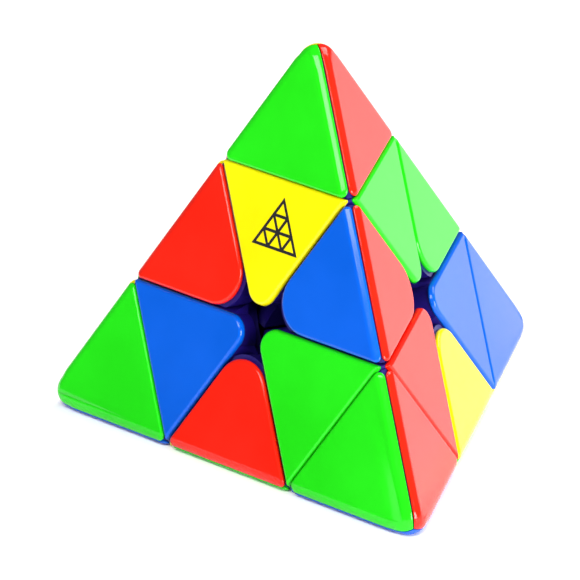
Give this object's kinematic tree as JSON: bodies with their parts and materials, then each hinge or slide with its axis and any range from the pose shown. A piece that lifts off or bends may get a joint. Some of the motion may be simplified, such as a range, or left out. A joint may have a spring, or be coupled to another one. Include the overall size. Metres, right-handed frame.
{
  "type": "pyramid twisty puzzle",
  "caption": "Pyramid twisty puzzle with coloured triangular caps; its corner layers and tips turn on a hidden sprung core.",
  "frame": {"origin": "the centre of the core, where all four turning axes meet; it is also the centroid of the pyramid", "axes": "+Z to the top corner, -Z to the bottom face the puzzle stands on, -Y out of the front side, +X to the right"},
  "size_m": [0.0974, 0.0852, 0.0803],
  "materials": {
    "core_plastic": "moulded ABS, satin",
    "body_navy": "moulded ABS, satin, deep violet blue",
    "cap_green": "moulded ABS, glossy",
    "cap_red": "moulded ABS, glossy",
    "cap_blue": "moulded ABS, glossy",
    "cap_yellow": "moulded ABS, glossy",
    "screw_steel": "zinc plated",
    "washer_steel": "bright steel",
    "spring_steel": "spring steel"
  },
  "bodies": {
    "core": {"core": "core_plastic", "axle_screws": "screw_steel", "spring_washers": "washer_steel", "tension_springs": "spring_steel"},
    "axial_top": {"axial_top_body": "body_navy", "axial_top_cap_right": "cap_green", "axial_top_cap_left": "cap_red", "axial_top_cap_front": "cap_yellow"},
    "axial_left": {"axial_left_body": "body_navy", "axial_left_cap_bottom": "cap_yellow", "axial_left_cap_left": "cap_green", "axial_left_cap_front": "cap_blue"},
    "axial_right": {"axial_right_body": "body_navy", "axial_right_cap_bottom": "cap_blue", "axial_right_cap_right": "cap_red", "axial_right_cap_front": "cap_green"},
    "axial_back": {"axial_back_body": "body_navy", "axial_back_cap_bottom": "cap_yellow", "axial_back_cap_right": "cap_blue", "axial_back_cap_left": "cap_red"},
    "tip_top": {"tip_top_body": "body_navy", "tip_top_cap_right": "cap_red", "tip_top_cap_left": "cap_yellow", "tip_top_cap_front": "cap_green"},
    "tip_left": {"tip_left_body": "body_navy", "tip_left_cap_bottom": "cap_blue", "tip_left_cap_left": "cap_yellow", "tip_left_cap_front": "cap_green"},
    "tip_right": {"tip_right_body": "body_navy", "tip_right_cap_bottom": "cap_blue", "tip_right_cap_right": "cap_red", "tip_right_cap_front": "cap_green"},
    "tip_back": {"tip_back_body": "body_navy", "tip_back_cap_bottom": "cap_yellow", "tip_back_cap_right": "cap_blue", "tip_back_cap_left": "cap_red"},
    "edge_top_left": {"edge_top_left_body": "body_navy", "edge_top_left_cap_left": "cap_yellow", "edge_top_left_cap_front": "cap_red"},
    "edge_top_right": {"edge_top_right_body": "body_navy", "edge_top_right_cap_right": "cap_red", "edge_top_right_cap_front": "cap_blue"},
    "edge_top_back": {"edge_top_back_body": "body_navy", "edge_top_back_cap_right": "cap_green", "edge_top_back_cap_left": "cap_blue"},
    "edge_left_right": {"edge_left_right_body": "body_navy", "edge_left_right_cap_bottom": "cap_green", "edge_left_right_cap_front": "cap_red"},
    "edge_right_back": {"edge_right_back_body": "body_navy", "edge_right_back_cap_bottom": "cap_green", "edge_right_back_cap_right": "cap_yellow"},
    "edge_left_back": {"edge_left_back_body": "body_navy", "edge_left_back_cap_bottom": "cap_yellow", "edge_left_back_cap_left": "cap_blue"}
  },
  "joints": [
    {"name": "turn_layer_top", "type": "hinge", "parent": "core", "child": "axial_top", "pos_m": [0, 0, 0], "axis": [0, 0, 1], "range_deg": [-120, 240]},
    {"name": "turn_layer_left", "type": "hinge", "parent": "core", "child": "axial_left", "pos_m": [0, 0, 0], "axis": [-0.8165, -0.4714, -0.3333], "range_deg": [-120, 240]},
    {"name": "turn_layer_right", "type": "hinge", "parent": "core", "child": "axial_right", "pos_m": [0, 0, 0], "axis": [0.8165, -0.4714, -0.3333], "range_deg": [-120, 240]},
    {"name": "turn_layer_back", "type": "hinge", "parent": "core", "child": "axial_back", "pos_m": [0, 0, 0], "axis": [0, 0.9428, -0.3333], "range_deg": [-120, 240]},
    {"name": "turn_tip_top", "type": "hinge", "parent": "axial_top", "child": "tip_top", "pos_m": [0, 0, 0], "axis": [0, 0, 1], "continuous": true},
    {"name": "turn_tip_left", "type": "hinge", "parent": "axial_left", "child": "tip_left", "pos_m": [0, 0, 0], "axis": [-0.8165, -0.4714, -0.3333], "continuous": true},
    {"name": "turn_tip_right", "type": "hinge", "parent": "axial_right", "child": "tip_right", "pos_m": [0, 0, 0], "axis": [0.8165, -0.4714, -0.3333], "continuous": true},
    {"name": "turn_tip_back", "type": "hinge", "parent": "axial_back", "child": "tip_back", "pos_m": [0, 0, 0], "axis": [0, 0.9428, -0.3333], "continuous": true},
    {"name": "carry_edge_top_left_with_left", "type": "hinge", "parent": "axial_top", "child": "edge_top_left", "pos_m": [0, 0, 0], "axis": [-0.8165, -0.4714, -0.3333], "range_deg": [-120, 240]},
    {"name": "carry_edge_top_right_with_right", "type": "hinge", "parent": "axial_top", "child": "edge_top_right", "pos_m": [0, 0, 0], "axis": [0.8165, -0.4714, -0.3333], "range_deg": [-120, 240]},
    {"name": "carry_edge_top_back_with_back", "type": "hinge", "parent": "axial_top", "child": "edge_top_back", "pos_m": [0, 0, 0], "axis": [0, 0.9428, -0.3333], "range_deg": [-120, 240]},
    {"name": "carry_edge_left_right_with_left", "type": "hinge", "parent": "axial_right", "child": "edge_left_right", "pos_m": [0, 0, 0], "axis": [-0.8165, -0.4714, -0.3333], "range_deg": [-120, 240]},
    {"name": "carry_edge_right_back_with_right", "type": "hinge", "parent": "axial_back", "child": "edge_right_back", "pos_m": [0, 0, 0], "axis": [0.8165, -0.4714, -0.3333], "range_deg": [-120, 240]},
    {"name": "carry_edge_left_back_with_back", "type": "hinge", "parent": "axial_left", "child": "edge_left_back", "pos_m": [0, 0, 0], "axis": [0, 0.9428, -0.3333], "range_deg": [-120, 240]}
  ],
  "couplings": [
    {"joint": "carry_edge_top_left_with_left", "follows": "turn_layer_left", "ratio": 1},
    {"joint": "carry_edge_top_right_with_right", "follows": "turn_layer_right", "ratio": 1},
    {"joint": "carry_edge_top_back_with_back", "follows": "turn_layer_back", "ratio": 1},
    {"joint": "carry_edge_left_right_with_left", "follows": "turn_layer_left", "ratio": 1},
    {"joint": "carry_edge_right_back_with_right", "follows": "turn_layer_right", "ratio": 1},
    {"joint": "carry_edge_left_back_with_back", "follows": "turn_layer_back", "ratio": 1}
  ]
}
